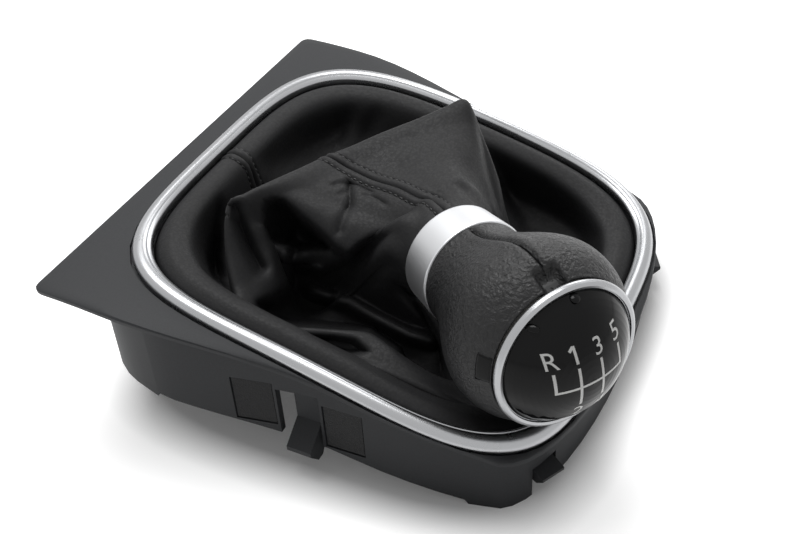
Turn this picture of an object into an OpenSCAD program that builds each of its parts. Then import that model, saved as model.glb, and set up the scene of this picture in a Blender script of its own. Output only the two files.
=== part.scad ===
// Gear shift knob on its leather gaiter and clip-in surround, knob laid to the rear left.
// All lengths in mm. +Z up, +Y to the front of the car, +X to its right.
// Origin: on the rest plane under the centre of the bright ring.

/* [Surround panel] */
// Full width of the panel across its square front part
panel_width = 161; // [150:1:180]
// Front edge of the panel, in front of the ring centre
panel_front = 85; // [80:0.5:90]
// Rear edge of the panel, behind the ring centre
panel_rear = 72; // [68:0.5:80]
// How much each side draws in from the front part to the middle
waist = 9.3; // [6:0.1:9.8]
// Height of the face at its front edge above the rest plane
face_front_z = 51; // [47:0.2:55]
// Height of the face at its rear edge above the rest plane
face_rear_z = 17.6; // [17.4:0.2:23]
// Slope of the face at its rear edge, rise over run
face_rear_slope = 0.299; // [0.2:0.005:0.35]
// Wall of the moulding at the rim
rim_wall = 1.6; // [1.4:0.1:2.6]
// How far the face rounds down towards its rim
rim_drop = 0.6; // [0.4:0.1:1.4]
// Wall of the skirt
skirt_wall = 2.2; // [1.8:0.1:2.6]
// Step in from the rim to the outer face of the skirt
skirt_step = 2.4; // [1.6:0.1:3]
// Lower edge of the skirt above the rest plane, at its front feet
skirt_front_z = 19; // [16:0.5:21]
// How far the corner feet stand below that edge: the rear ones stand on the rest plane
foot_drop = 1.6; // [1:0.1:2.4]

/* [Snap clips] */
// Width of a snap clip
clip_width = 8; // [6:0.5:10]
// Reach of a clip's barb beyond the skirt
clip_reach = 5.4; // [3:0.1:6]
// Thickness of a clip's arm
clip_wall = 2.2; // [1.8:0.1:2.6]
// Gap between a clip and the edge of its slot
clip_gap = 1; // [0.8:0.1:1.4]
// Gap of a side clip on the front side of its slot
front_gap = 4; // [2:0.1:5]
// Side clips, distance in front of the ring centre
clip_y = 3; // [-6:0.5:4]
// Rear clips, distance to each side as a share of half the width
clip_spread = 0.62; // [0.55:0.01:0.65]

/* [Anti-rattle pads] */
// Length of a felt pad along the skirt
pad_length = 12; // [8:0.5:13]
// Height of a felt pad
pad_height = 16; // [8:0.5:17]
// Thickness of a felt pad
pad_thick = 0.5; // [0.3:0.05:0.7]
// Depth of the recess that takes a pad
pad_recess = 0.8; // [0.8:0.05:1]

/* [Trim ring] */
// Width of the face between the ring's centre line and the side of the panel's front part
side_margin = 12.5; // [12.2:0.1:14]
// Width of the face in front of the ring's centre line
front_margin = 11.8; // [10:0.1:14]
// Width of the face behind the ring's centre line
rear_margin = 5.7; // [5.5:0.1:9]
// Squareness of the ring's corners, 2 is an ellipse
ring_power = 4; // [3:0.1:4.4]
// Width of the ring's section
ring_width = 5.2; // [4.6:0.1:6]
// Height of the ring above the panel face
ring_proud = 2.7; // [2:0.1:3.2]

/* [Gaiter] */
// Thickness of the leather
leather = 1.4; // [1:0.1:1.6]
// Width of the soft roll beside the ring
roll_width = 9.5; // [7:0.5:12]
// Height of the soft roll above the face
roll_rise = 0.9; // [0:0.1:2]
// Height of the tent's ridge where the front seam crosses it, above the rest plane
ridge_z = 58; // [55:0.5:60]
// Depth of the trough between roll and ridge, above the rest plane
trough_z = 27; // [23:0.5:31]
// Floor of the deep pocket on the left, above the rest plane
pocket_z = 20; // [17:0.5:25]
// Height of the small gathers below the collar
gather = 0.5; // [0:0.1:0.8]
// Number of small gathers round the neck
gather_count = 11; // [6:1:14]
// Length of the gathered neck below the collar
neck_run = 9; // [7:0.5:10]

/* [Retaining frame] */
// Height of the frame that clamps the gaiter's edge
frame_height = 5; // [4:0.1:6]
// Wall of the frame
frame_wall = 2; // [1.6:0.1:2.4]
// Free gap on each side of the clamped leather edge
clamp_gap = 0.3; // [0.2:0.05:0.4]

/* [Lean of the knob] */
// Height of the pivot of the soft neck above the rest plane
pivot_z = 43; // [42.5:0.1:46]
// Lean to the rear from upright, in degrees
lean_rear = 83.65; // [78:0.05:84]
// Lean to the left, in degrees
lean_left = 34.6; // [30:0.1:38]

/* [Collar] */
// Distance of the collar's gaiter side from the pivot
collar_from = 23.8; // [23:0.1:26]
// Height of the collar
collar_height = 12.8; // [11:0.1:13.6]
// Outer radius of the collar on its gaiter side
collar_r_low = 16.6; // [15.5:0.1:18]
// How much wider the collar is on its knob side, on the radius
collar_flare = 0.8; // [0:0.1:1.4]
// Wall of the collar
collar_wall = 1; // [0.8:0.05:1.1]

/* [Knob] */
// Length of the leather grip between the collar and the cap ring
grip_len = 42.7; // [38:0.1:46]
// How far the leather bulges beyond the cap ring, on the radius
knob_bulge = 4.5; // [3:0.1:5]
// Thickness of the knob's leather
cover_wall = 1.3; // [1:0.1:1.6]
// Thickness of the foam under the leather
foam_wall = 1.8; // [1:0.1:2.2]
// Width of the open joint between the two covers at the seam, in degrees
seam_gap = 0.7; // [0.4:0.1:1.5]
// Wall between the collar's outside and the core's neck
neck_wall = 5; // [4.8:0.1:5.4]
// End of the core on the lever's side, from the pivot
core_from = 9; // [8:0.5:11]

/* [Lever seat] */
// Radius of the bore for the lever
lever_r = 6; // [5:0.1:6.4]
// Wall of the bush
bush_wall = 1.6; // [1.2:0.1:2]
// Length of the bore
bore_length = 46; // [36:1:50]
// Width of the clamp band round the core's slotted neck
band_width = 7; // [5:0.5:8]
// Thickness of the clamp band
band_wall = 0.8; // [0.5:0.1:1]

/* [Cap] */
// Radius of the pattern cap
cap_r = 20.3; // [19:0.1:22]
// Width of the bright cap ring round it
cap_ring_w = 2.1; // [2:0.1:3]
// Height of the cap ring
cap_ring_h = 3.2; // [2.6:0.1:3.8]
// Rise of the domed pattern cap
cap_rise = 11.5; // [8:0.1:13]
// Wall of the domed cap
cap_wall = 1.8; // [1.4:0.1:2.4]
// Thickness of the disc under the cap
carrier_h = 2; // [1.5:0.1:2.5]

/* [Hidden] */
fit = 0.3;
press = 0.02;
half_w = panel_width / 2;
mid_w = half_w - waist;
ring_x = half_w - side_margin;
ring_front = panel_front - front_margin;
ring_rear = panel_rear - rear_margin;

// Smooth step, mixture of two values, a point at a height, a point's bearing
function ease(t) = let (s = min(1, max(0, t))) s * s * (3 - 2 * s);
function mix(a, b, t) = a * (1 - t) + b * t;
function at(p, z) = [p[0], p[1], z];
function bearing(p) = atan2(p[1], p[0]);
function unit(v) = v / max(0.0001, norm(v));
function turn(p) = [for (i = [len(p) - 1 : -1 : 0]) p[i]];
function flat(rows) = [for (r = rows) for (p = r) p];

// Height of the face: a cubic from the sloping rear edge to the level front edge
run = panel_front + panel_rear;
function face(y) = let (t = (y + panel_rear) / run)
    face_rear_z * (1 - 3 * t * t + 2 * t * t * t)
    + face_rear_slope * run * t * (1 - t) * (1 - t)
    + face_front_z * (3 * t * t - 2 * t * t * t);

// Ring centre line by bearing, d mm inside it
function oval(a, d) =
    let (bx = ring_x - d, by = (sin(a) > 0 ? ring_front : ring_rear) - d)
    let (r = pow(pow(abs(cos(a)) / bx, ring_power) + pow(abs(sin(a)) / by, ring_power), -1 / ring_power))
    [r * cos(a), r * sin(a)];

// Side edge of the panel, drawn in behind the square front part, and its rounded rear
waist_from = -10;
waist_run = 70;
tail_bend = 0.003;
rear_from = -52;
rear_round = 0.95;
corner_r = 3;
function side_x(y) = mid_w + waist * ease((y - waist_from) / waist_run)
    - tail_bend * pow(min(0, y - waist_from), 2);

// Stations round the right half of the panel, from the front middle to the rear middle:
// each is [kind, value], 0 front edge by x, 1 corner by angle, 2 side by y, 3 rear by angle
foot_front = 55;
foot_rear = -45;
corner_y = panel_front - corner_r;
side_y = concat(
    [for (k = [0 : 3]) mix(corner_y, foot_front, k / 4)], [foot_front, foot_front - 1],
    [for (k = [1 : 11]) mix(foot_front - 1, foot_rear, k / 12)], [foot_rear, foot_rear - 1]);
stations = concat(
    [for (k = [0 : 5]) [0, k / 6 * (half_w - corner_r)]],
    [for (b = [90, 60, 30]) [1, b]],
    [for (y = side_y) [2, y]],
    [for (b = [0 : 9 : 81]) [3, b]]);
rear_station = [3, 90];

// Rim of the face, d mm inside its edge
function rim(s, d) =
    s[0] == 0 ? [s[1], panel_front - d]
    : s[0] == 1 ? [half_w - corner_r, corner_y] + (corner_r - d) * [cos(s[1]), sin(s[1])]
    : s[0] == 2 ? [side_x(s[1]) - d, s[1]]
    : [(side_x(rear_from) - d) * pow(cos(s[1]), rear_round),
       rear_from - (panel_rear + rear_from - d) * pow(sin(s[1]), rear_round)];

// Outer face of the skirt, d mm inside it: it rounds off inside the panel's square front
skirt_front = ring_front + 5.6;
nose_power = 5.5;
nose_share = 0.873;
nose_from = 40;
nose_end = 68;
function nose_x(y, d) = (half_w - skirt_step - d)
    * pow(max(0, 1 - pow(max(0, y) / (skirt_front - d), nose_power)), 1 / nose_power);
function nose_y(x, d) = (skirt_front - d)
    * pow(max(0, 1 - pow(x / (half_w - skirt_step - d), nose_power)), 1 / nose_power);
function skirt_y(y) = y > nose_from ? mix(nose_from, nose_end, (y - nose_from) / (corner_y - nose_from)) : y;
function skirt(s, d) =
    s[0] < 2 ? let (x = rim(s, 0)[0] * nose_share) [x, nose_y(x, d)]
    : s[0] == 2 ? let (y = skirt_y(s[1])) [min(side_x(y) - skirt_step - d, nose_x(y, d)), y]
    : rim(s, skirt_step + d);
function on_foot(s) = s[0] != 2 || s[1] >= foot_front || s[1] < foot_rear;
function low_z(y) = let (t = min(1, max(0, (y - foot_rear) / (foot_front - foot_rear))))
    mix(foot_drop, skirt_front_z, t);

// Half a loop mirrored to a whole one, counter-clockwise seen from above
function mirror_x(row) = [for (p = row) [-p[0], p[1], p[2]]];
function whole(right, rear) = concat(
    [for (i = [0 : len(right) - 1]) mirror_x(right[i])], [rear],
    [for (i = [len(right) - 1 : -1 : 1]) right[i]]);

// One section of the panel: ring seat, face, rounded rim, skirt, underside
lip_under = 5;
lip_in = ring_width / 2 - 0.1;
seat_gap = 0.6;
seat_deep = 1.2;
function face_row(from, to, shares) = [for (s = shares)
    let (p = mix(from, to, s[0])) at(p, face(p[1]) - rim_drop * s[1])];
function panel_row(s) =
    let (o = rim(s, 0), a = bearing(o), e = oval(a, lip_in),
         seat = oval(a, -ring_width / 2 - seat_gap), edge = oval(a, -ring_width / 2 - seat_gap - 0.1),
         k = skirt(s, 0), ki = skirt(s, skirt_wall), low = low_z(k[1]) - (on_foot(s) ? foot_drop : 0),
         brim = face(o[1]) - rim_drop - rim_wall)
    concat([at(e, face(e[1]) - seat_deep), at(seat, face(seat[1]) - seat_deep), at(edge, face(edge[1]))],
        face_row(edge, o, [[0.45, 0.12], [0.8, 0.45], [0.95, 0.8], [1, 1.5]]),
        [at(rim(s, 0.2), brim), at(k, min(brim, face(k[1]) - rim_drop - rim_wall)), at(k, low), at(ki, low),
         at(ki, face(ki[1]) - lip_under - 0.4), at(e, face(e[1]) - lip_under)]);
panel_rows = whole([for (s = stations) panel_row(s)], panel_row(rear_station));

// Closed tube of sections: rows run round, each row is a closed section
function tube_faces(n, m) = [for (i = [0 : n - 1]) for (j = [0 : m - 1])
    let (i2 = (i + 1) % n, j2 = (j + 1) % m)
    for (f = [[i * m + j, i2 * m + j2, i * m + j2], [i * m + j, i2 * m + j, i2 * m + j2]]) f];
module loop_solid(rows) polyhedron(
    points = flat(rows), faces = tube_faces(len(rows), len(rows[0])), convexity = 6);

// Band of the skirt's outline between two depths
function skirt_line(d) =
    let (rows = whole([for (s = stations) [at(skirt(s, d), 0)]], [at(skirt(rear_station, d), 0)]))
    [for (r = rows) [r[0][0], r[0][1]]];
module skirt_band(d0, d1) difference() {
    polygon(skirt_line(d0));
    polygon(skirt_line(d1));
}

// Snap clips seen from their end: u outwards from the skirt's face, z up. Each is an arm behind the
// wall, rooted in it above its slot, with a barb that reaches out through the slot.
root_out = 0.4 - skirt_wall;
arm_out = -skirt_wall;
arm_in = arm_out - clip_wall;
barb_z = 5;
module clip_bar(shape)
    rotate([90, 0, 0]) translate([0, 0, -clip_width / 2]) linear_extrude(clip_width) polygon(shape);
module side_clip(top) clip_bar([
    [root_out, top + 2.5], [root_out, top], [arm_out, top - 1], [arm_out, barb_z + 12],
    [clip_reach, barb_z + 6.4], [clip_reach, barb_z + 4.8], [1.6, barb_z], [-1, barb_z],
    [arm_in, barb_z + 5], [arm_in, top + 2.5]]);
rear_reach = clip_reach * 0.7;
module rear_clip(top) clip_bar([
    [arm_out, top], [arm_out, barb_z + 5], [rear_reach, barb_z + 3.6], [rear_reach, barb_z + 2.6],
    [1, barb_z], [-1, barb_z], [arm_in, barb_z + 2], [arm_in, top]]);
module place_side(m) mirror([m, 0, 0])
    translate([skirt_step - side_x(clip_y), clip_y, 0]) mirror([1, 0, 0]) children();
rear_clip_turn = 242;
rear_clip_root = face_rear_z - lip_under + 1;
rear_slot_top = face_rear_z - 6.6;
rear_clip_at = let (reach = clip_spread * half_w / (side_x(rear_from) - skirt_step))
    skirt([3, acos(pow(reach, 1 / rear_round))], 0);
module place_rear(m) mirror([m, 0, 0])
    translate([-rear_clip_at[0], rear_clip_at[1], 0]) rotate([0, 0, rear_clip_turn]) children();
slot_top = face(clip_y) - lip_under - 5;
slot_y = clip_y - clip_width / 2 - clip_gap;
slot_width = clip_width + clip_gap + front_gap;
module surround_panel() color([0.19, 0.19, 0.2]) {
    difference() {
        loop_solid(panel_rows);
        // one cut through both sides opens the slots of the side clips
        translate([-half_w - 5, slot_y, -1]) cube([2 * half_w + 10, slot_width, slot_top + 1]);
        for (m = [0, 1]) place_rear(m) translate([-skirt_wall - 2, -clip_width / 2 - clip_gap, -1])
            cube([skirt_wall + 4, clip_width + 2 * clip_gap, rear_slot_top + 1]);
        for (m = [0, 1]) mirror([m, 0, 0]) for (k = [0, 1]) pad_block(k, 0.4, -1, pad_recess);
    }
    for (m = [0, 1]) {
        place_side(m) side_clip(slot_top);
        place_rear(m) rear_clip(rear_clip_root);
    }
}

// Felt pads in shallow recesses of the skirt, one on each side of the side clip's slot
pad_rim = 1.2;
pad_y = [slot_y + slot_width + pad_rim + pad_length / 2, slot_y - pad_rim - pad_length / 2];
pad_z = [for (y = pad_y) low_z(y + pad_length / 2) + pad_rim];
function pad_h(k) = min(pad_height, face(pad_y[k] - pad_length / 2) - rim_drop - rim_wall - pad_z[k] - 2);
module pad_block(k, grow, d0, d1) intersection() {
    translate([-half_w - 2, pad_y[k] - pad_length / 2 - grow, pad_z[k] - grow])
        cube([half_w, pad_length + 2 * grow, pad_h(k) + 2 * grow]);
    translate([0, 0, pad_z[k] - 1]) linear_extrude(pad_height + 2) skirt_band(d0, d1);
}
module felt_pad(m, k) color([0.13, 0.13, 0.13]) mirror([m, 0, 0])
    pad_block(k, 0, pad_recess - pad_thick, pad_recess);
module felt_pad_left_front() felt_pad(0, 0);
module felt_pad_left_rear() felt_pad(0, 1);
module felt_pad_right_front() felt_pad(1, 0);
module felt_pad_right_rear() felt_pad(1, 1);

// Bright trim ring: a broad outer band, a fine groove and a narrow inner bevel, swept round the opening.
// Each point is its distance inwards as a share of half the width, and its height as a share of the rise.
ring_n = 88;
ring_foot = 0.9;
ring_section = [[1, -1], [1.02, 0.3], [0.92, 0.55], [0.6, 0.78], [0.52, 0.72], [0.44, 0.84],
    [0.1, 1], [-0.4, 0.94], [-0.78, 0.66], [-0.98, 0.25], [-0.98, -1]];
function ring_row(a) = [for (p = ring_section)
    let (q = oval(a, p[0] * ring_width / 2)) at(q, face(q[1]) + (p[1] < 0 ? -ring_foot : p[1] * ring_proud))];
module trim_ring() color([0.78, 0.79, 0.8])
    loop_solid([for (i = [0 : ring_n - 1]) ring_row(i * 360 / ring_n)]);

// Retaining frame: presses the gaiter's edge outwards against the lip of the opening
frame_n = 64;
frame_top = 4.2;
edge_mid = lip_in + clamp_gap + leather / 2;
edge_low = lip_under + 1.4;
frame_in = edge_mid + leather / 2 + clamp_gap;
frame_foot = lip_in + 0.4;
frame_section = [[frame_foot, -frame_top - frame_height], [frame_in + frame_wall, -frame_top - frame_height],
    [frame_in + frame_wall, -frame_top], [frame_in, -frame_top],
    [frame_in, -edge_low - clamp_gap], [frame_foot, -edge_low - clamp_gap]];
function on_face(a, d, dz) = let (q = oval(a, d)) at(q, face(q[1]) + dz);
function frame_row(a) = [for (p = frame_section) on_face(a, p[0], p[1])];
module gaiter_frame() color([0.12, 0.12, 0.13])
    loop_solid([for (i = [0 : frame_n - 1]) frame_row(i * 360 / frame_n)]);

// Knob frame: local z runs from the pivot out through the collar and the cap
function lean(p) =
    let (x = p[0] * cos(lean_left) - p[2] * sin(lean_left), z = p[0] * sin(lean_left) + p[2] * cos(lean_left))
    [x, p[1] * cos(lean_rear) - z * sin(lean_rear), pivot_z + p[1] * sin(lean_rear) + z * cos(lean_rear)];
module leaning() translate([0, 0, pivot_z]) rotate([lean_rear, 0, 0]) rotate([0, -lean_left, 0]) children();
function neck(a, r, z) = lean([r * cos(a), r * sin(a), z]);

// Folds of the gaiter, each a list of [bearing, value]. Bearing 90 is the front seam, 180 the left side.
// Distance of the tent's ridge, as a share of the way out to the ring
ridge_out = [[0, 0.52], [20, 0.38], [50, 0.29], [74, 0.35], [90, 0.42], [104, 0.46], [116, 0.52], [130, 0.66],
    [138, 0.72], [146, 0.77], [154, 0.83], [166, 0.82], [177, 0.74], [188, 0.69], [200, 0.71], [215, 0.75],
    [235, 0.74], [270, 0.74], [291, 0.68], [307, 0.58], [318, 0.53], [331, 0.5], [348, 0.55]];
// Height of that ridge against its height at the seam, as a share of the tent's depth
ridge_up = [[0, 0.2], [20, 0.13], [50, 0.08], [90, 0.01], [104, 0.03], [116, 0.06], [130, 0.1], [138, -0.23],
    [146, -0.42], [154, -0.5], [166, -0.52], [177, -0.54], [188, -0.58], [200, -0.64], [215, -0.8],
    [235, -1.03], [270, -1.08], [291, -1.03], [307, -0.8], [318, -0.58], [331, -0.26], [348, 0.05]];
// Distance and height of the trough between ridge and roll
trough_out = [[0, 0.77], [45, 0.77], [90, 0.76], [132, 0.78], [146, 0.84], [156, 0.86], [177, 0.83],
    [206, 0.86], [235, 0.86], [270, 0.85], [305, 0.76]];
trough_up = [[0, -0.1], [45, 0], [90, 0.05], [132, 0.1], [146, 0.24], [156, 0.3], [177, 0.24], [206, 0.05],
    [235, -0.22], [270, -0.28], [300, -0.3], [330, -0.2]];
// Drop of the pocket, then of the fold beyond it, below the straight line from ridge to neck
pocket_in = [[0, 0], [45, 0], [90, 0.02], [113, 0], [122, -0.4], [132, -0.8], [142, -0.5], [160, -0.95],
    [185, -0.95], [206, -0.8], [235, -0.45], [270, -0.3], [300, -0.5], [325, -0.2], [345, -0.08]];
fold_in = [[0, 0], [45, 0.02], [90, 0.03], [113, 0], [125, -0.5], [138, -1.05], [160, -1], [185, -0.5],
    [206, -0.7], [235, -0.6], [270, -0.4], [300, -0.35], [330, -0.05]];
// Lift of the roll, below 0 where the knob lies over it
roll_up = [[0, 1], [90, 1.2], [180, 1], [206, 0.2], [235, -3], [270, -1.5], [300, 0.4]];

// Value of one such list at a bearing, through its points without kinks
function track(list, a) =
    let (n = len(list), hits = [for (k = [0 : n - 1]) if (list[k][0] <= a) k], k = hits[len(hits) - 1],
         p0 = list[(k + n - 1) % n], p1 = list[k], p2 = list[(k + 1) % n], p3 = list[(k + 2) % n],
         x0 = k == 0 ? p0[0] - 360 : p0[0], x1 = p1[0],
         x2 = k + 1 >= n ? p2[0] + 360 : p2[0], x3 = k + 2 >= n ? p3[0] + 360 : p3[0],
         m1 = (p2[1] - p0[1]) / (x2 - x0), m2 = (p3[1] - p1[1]) / (x3 - x1),
         w = x2 - x1, t = (a - x1) / w)
    p1[1] * (1 - 3 * t * t + 2 * t * t * t) + m1 * w * t * (1 - t) * (1 - t)
    + p2[1] * (3 * t * t - 2 * t * t * t) - m2 * w * t * t * (1 - t);

// Guide points of the gaiter at one bearing: clamped edge, roll, trough, ridge, folds and neck
deep = ridge_z - pocket_z;
skin_r = collar_r_low - collar_wall - fit - leather / 2;
function inward(a, share, z) = let (q = oval(a, 0) * share) at(q, z);
function guides(a0) = let (a = (a0 + 360) % 360,
        lift = roll_rise * track(roll_up, a), flute = gather * cos(gather_count * a),
        t = inward(a, track(trough_out, a), trough_z + deep * track(trough_up, a)),
        r = inward(a, track(ridge_out, a), ridge_z + deep * track(ridge_up, a)),
        n0 = neck(a, skin_r + leather * 2.6 + flute, collar_from - neck_run),
        share = (r[2] - pocket_z) / deep,
        v = mix(r, n0, 0.34) + [0, 0, deep * track(pocket_in, a) * (share * 0.8 + 0.2)],
        f = mix(r, n0, 0.68) + [0, 0, deep * track(fold_in, a) * (share * 0.5 + 0.4)])
    [on_face(a, edge_mid, -edge_low), on_face(a, edge_mid, -lip_under + 0.8),
     on_face(a, edge_mid, -lip_under / 2), on_face(a, edge_mid + 0.9, -0.7 + 0.6 * min(0, lift)),
     on_face(a, roll_width * 0.8, lift), on_face(a, roll_width + 2.5, lift - 2), t, r, v, f, n0,
     neck(a, skin_r + 0.6, collar_from - 2.6), neck(a, skin_r, collar_from + 0.6),
     neck(a, skin_r, collar_from + 7.5)];
steps = [1, 1, 1, 2, 2, 3, 4, 4, 3, 3, 2, 1, 1];
slack = 0.4;
function held(m, w) = norm(m) > w ? m * w / norm(m) : m;
function along(g) = concat([for (k = [0 : len(g) - 2]) for (s = [0 : steps[k] - 1])
    let (t = s / steps[k], p1 = g[k], p2 = g[k + 1], w = norm(p2 - p1),
         c1 = held((p2 - g[max(0, k - 1)]) * slack, w),
         c2 = held((g[min(len(g) - 1, k + 2)] - p1) * slack, w))
    p1 * (1 - 3 * t * t + 2 * t * t * t) + c1 * t * (1 - t) * (1 - t)
    + p2 * (3 * t * t - 2 * t * t * t) - c2 * t * t * (1 - t)], [g[len(g) - 1]]);

// Half of the gaiter over a run of bearings: the middle surface, thickened both ways
function skin(bearings) =
    let (g = [for (b = bearings) along(guides(b))], n = len(g) - 1, m = len(g[0]))
    [for (i = [0 : n]) let (row = g[i], sideways = g[min(n, i + 1)] - g[max(0, i - 1)],
        nrm = [for (j = [0 : m - 1]) unit(cross(sideways[j], row[min(m - 1, j + 1)] - row[max(0, j - 1)]))])
        concat([for (j = [0 : m - 1]) row[j] + nrm[j] * leather / 2],
            [for (j = [m - 1 : -1 : 0]) row[j] - nrm[j] * leather / 2])];
function end_faces(b, m) = [for (j = [0 : m / 2 - 2])
    for (f = [[b + j, b + j + 1, b + m - 1 - j], [b + j + 1, b + m - 2 - j, b + m - 1 - j]]) f];
function strip_faces(n, m) = concat(
    [for (i = [0 : n - 1]) for (j = [0 : m - 1]) let (j2 = (j + 1) % m, b = i * m, c = (i + 1) * m)
        for (f = [[b + j, b + j2, c + j2], [b + j, c + j2, c + j]]) f],
    [for (f = end_faces(0, m)) turn(f)], end_faces(n * m, m));
module gaiter_half(bearings) {
    rows = skin(bearings);
    polyhedron(points = flat(rows), faces = strip_faces(len(rows) - 1, len(rows[0])), convexity = 8);
}
// Stations lie closer where the tent's left end folds into the pocket
seam_open = 0.35;
function between(b0, b1, n) = [for (i = [0 : n - 1]) mix(b0, b1, i / n)];
left_bearings = concat([90 + seam_open], between(94, 110, 3), between(110, 166, 20), between(166, 270, 14),
    [270 - seam_open]);
right_bearings = concat([-90 + seam_open], between(-85, 88, 29), [90 - seam_open]);
module gaiter_left() color([0.07, 0.07, 0.07]) gaiter_half(left_bearings);
module gaiter_right() color([0.08, 0.08, 0.08]) gaiter_half(right_bearings);

// Solid of revolution in the knob frame from [radius, z] points
module turned(pts, from = 0, sweep = 360)
    leaning() rotate([0, 0, from]) rotate_extrude(angle = sweep, $fn = 96) polygon(pts);

// Collar: a drawn sleeve with rounded edges; a plastic neck ring holds the gaiter's end inside it
collar_to = collar_from + collar_height;
collar_r_top = collar_r_low + collar_flare;
collar_in = collar_r_low - collar_wall;
core_neck_r = collar_r_low - neck_wall;
sleeve_r = collar_in - fit - leather - fit;
neck_overlap = 8.4;
module collar() color([0.76, 0.77, 0.78]) turned([
    [collar_in, collar_from + 0.3], [collar_r_low - 0.5, collar_from], [collar_r_low - 0.15, collar_from + 0.15],
    [collar_r_low, collar_from + 0.5], [collar_r_top, collar_to - 0.5], [collar_r_top - 0.15, collar_to - 0.15],
    [collar_r_top - 0.5, collar_to], [collar_r_top - collar_wall, collar_to - 1.2],
    [collar_in, collar_from + neck_overlap]]);
module neck_ring() color([0.15, 0.15, 0.16]) turned([
    [core_neck_r + 0.2, collar_from - 1], [sleeve_r, collar_from - 1],
    [sleeve_r, collar_from + neck_overlap - 0.2], [collar_in - 0.2, collar_from + neck_overlap + 0.2],
    [collar_in - 0.2, collar_to - 1.6], [core_neck_r + 0.2, collar_to - 1.6]]);

// Outline of the leather-covered grip, i mm under its surface
cap_ring_r = cap_r + cap_ring_w;
mouth_r = cap_ring_r - 0.2;
knob_r = mouth_r + knob_bulge;
waist_r = collar_r_top - 0.4;
grip_from = collar_to + fit;
seat_at = grip_from + grip_len;
belly = 0.7;
function grip_r(z) = let (t = (z - grip_from) / grip_len)
    t < belly ? waist_r + (knob_r - waist_r) * pow(ease(t / belly), 1.15)
    : knob_r - knob_bulge * pow((t - belly) / (1 - belly), 2.2);
function grip_line(i) = [for (k = [0 : 16]) let (z = grip_from + grip_len * k / 16) [grip_r(z) - i, z]];
module shell(i0, i1, from, sweep) turned(concat(grip_line(i0), turn(grip_line(i1))), from, sweep);
module knob_cover_left() color([0.09, 0.09, 0.09]) shell(0, cover_wall, 90 + seam_gap / 2, 180 - seam_gap);
module knob_cover_right() color([0.1, 0.1, 0.1]) shell(0, cover_wall, -90 + seam_gap / 2, 180 - seam_gap);
module knob_padding() color([0.3, 0.3, 0.28]) shell(cover_wall, cover_wall + foam_wall, 0, 360);

// Moulded core with the seat for the bush, slotted neck for the clamp band
bush_r = lever_r + bush_wall;
core_in = cover_wall + foam_wall;
band_from = core_from + 1.5;
cut_width = 1.2;
module knob_core() color([0.16, 0.16, 0.17]) difference() {
    turned(concat([[bush_r + press, core_from], [core_neck_r, core_from], [core_neck_r, grip_from]],
        grip_line(core_in + press), [[bush_r + press, seat_at]]));
    leaning() for (b = [45, 135]) rotate([0, 0, b])
        translate([-core_neck_r - 2, -cut_width / 2, core_from - 1])
            cube([2 * core_neck_r + 4, cut_width, band_width + 4]);
}
bore_end = core_from + bore_length;
bush_end = bore_end + 3;
module lever_bush() color([0.5, 0.5, 0.52]) turned([
    [lever_r, core_from], [bush_r, core_from], [bush_r, bush_end], [0, bush_end], [0, bore_end],
    [lever_r, bore_end]]);
module lever_clamp() color([0.62, 0.63, 0.64]) {
    turned([[core_neck_r + press, band_from], [core_neck_r + band_wall, band_from],
        [core_neck_r + band_wall, band_from + band_width], [core_neck_r + press, band_from + band_width]]);
    leaning() rotate([0, 0, 200])
        translate([core_neck_r + band_wall - 0.2, -2.2, band_from]) cube([1.8, 4.4, band_width]);
}

// Cap: bright ring, dark disc, domed pattern cap
cap_base = seat_at + carrier_h + fit;
cap_step = cap_r - 0.9;
dome_r = (cap_r * cap_r + cap_rise * cap_rise) / (2 * cap_rise);
ring_round = 1.6;
module cap_carrier() color([0.1, 0.1, 0.1]) turned([
    [0, seat_at], [cap_step - fit, seat_at], [cap_step - fit, seat_at + carrier_h], [0, seat_at + carrier_h]]);
module cap_ring() color([0.8, 0.81, 0.82]) turned(concat([[cap_step, seat_at + press]],
    [for (b = [-50 : 20 : 70])
        [cap_ring_r - ring_round + ring_round * cos(b), seat_at + cap_ring_h / 2 * (1 + sin(b))]],
    [[cap_r + 0.3, seat_at + cap_ring_h * 0.9], [cap_r + 0.15, seat_at + cap_ring_h * 0.78],
     [cap_r + 0.15, cap_base - 0.05], [cap_step, cap_base - 0.05]]));
function dome(r, top, n) = [for (k = [0 : n - 1]) let (b = asin(cap_r / dome_r) * (n - k) / (n + 0.5))
    [r * sin(b), top - r * (1 - cos(b))]];
cap_top = cap_base + cap_rise;
module pattern_cap() color([0.03, 0.03, 0.03]) turned(concat(
    [[cap_r - cap_wall, cap_base], [cap_r, cap_base]], dome(dome_r, cap_top, 12),
    [[0, cap_top], [0, cap_top - cap_wall]], turn(dome(dome_r - cap_wall, cap_top - cap_wall, 8))));

surround_panel();
felt_pad_left_front();
felt_pad_left_rear();
felt_pad_right_front();
felt_pad_right_rear();
trim_ring();
gaiter_frame();
gaiter_left();
gaiter_right();
neck_ring();
collar();
knob_core();
lever_bush();
lever_clamp();
knob_padding();
knob_cover_left();
knob_cover_right();
cap_ring();
cap_carrier();
pattern_cap();
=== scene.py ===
# %% [markdown]
# A gear shift knob, taken out of the car: the knob lies to the rear left on its leather gaiter, and the
# gaiter hangs in a sloped surround that clips into the centre console. The hard parts come ready from the
# CAD model. This lesson dresses them, sews the two kinds of leather, prints the cap and lights the table.

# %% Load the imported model
import math
import bpy
import bmesh
import numpy as np
from mathutils import Vector, Matrix


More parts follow.
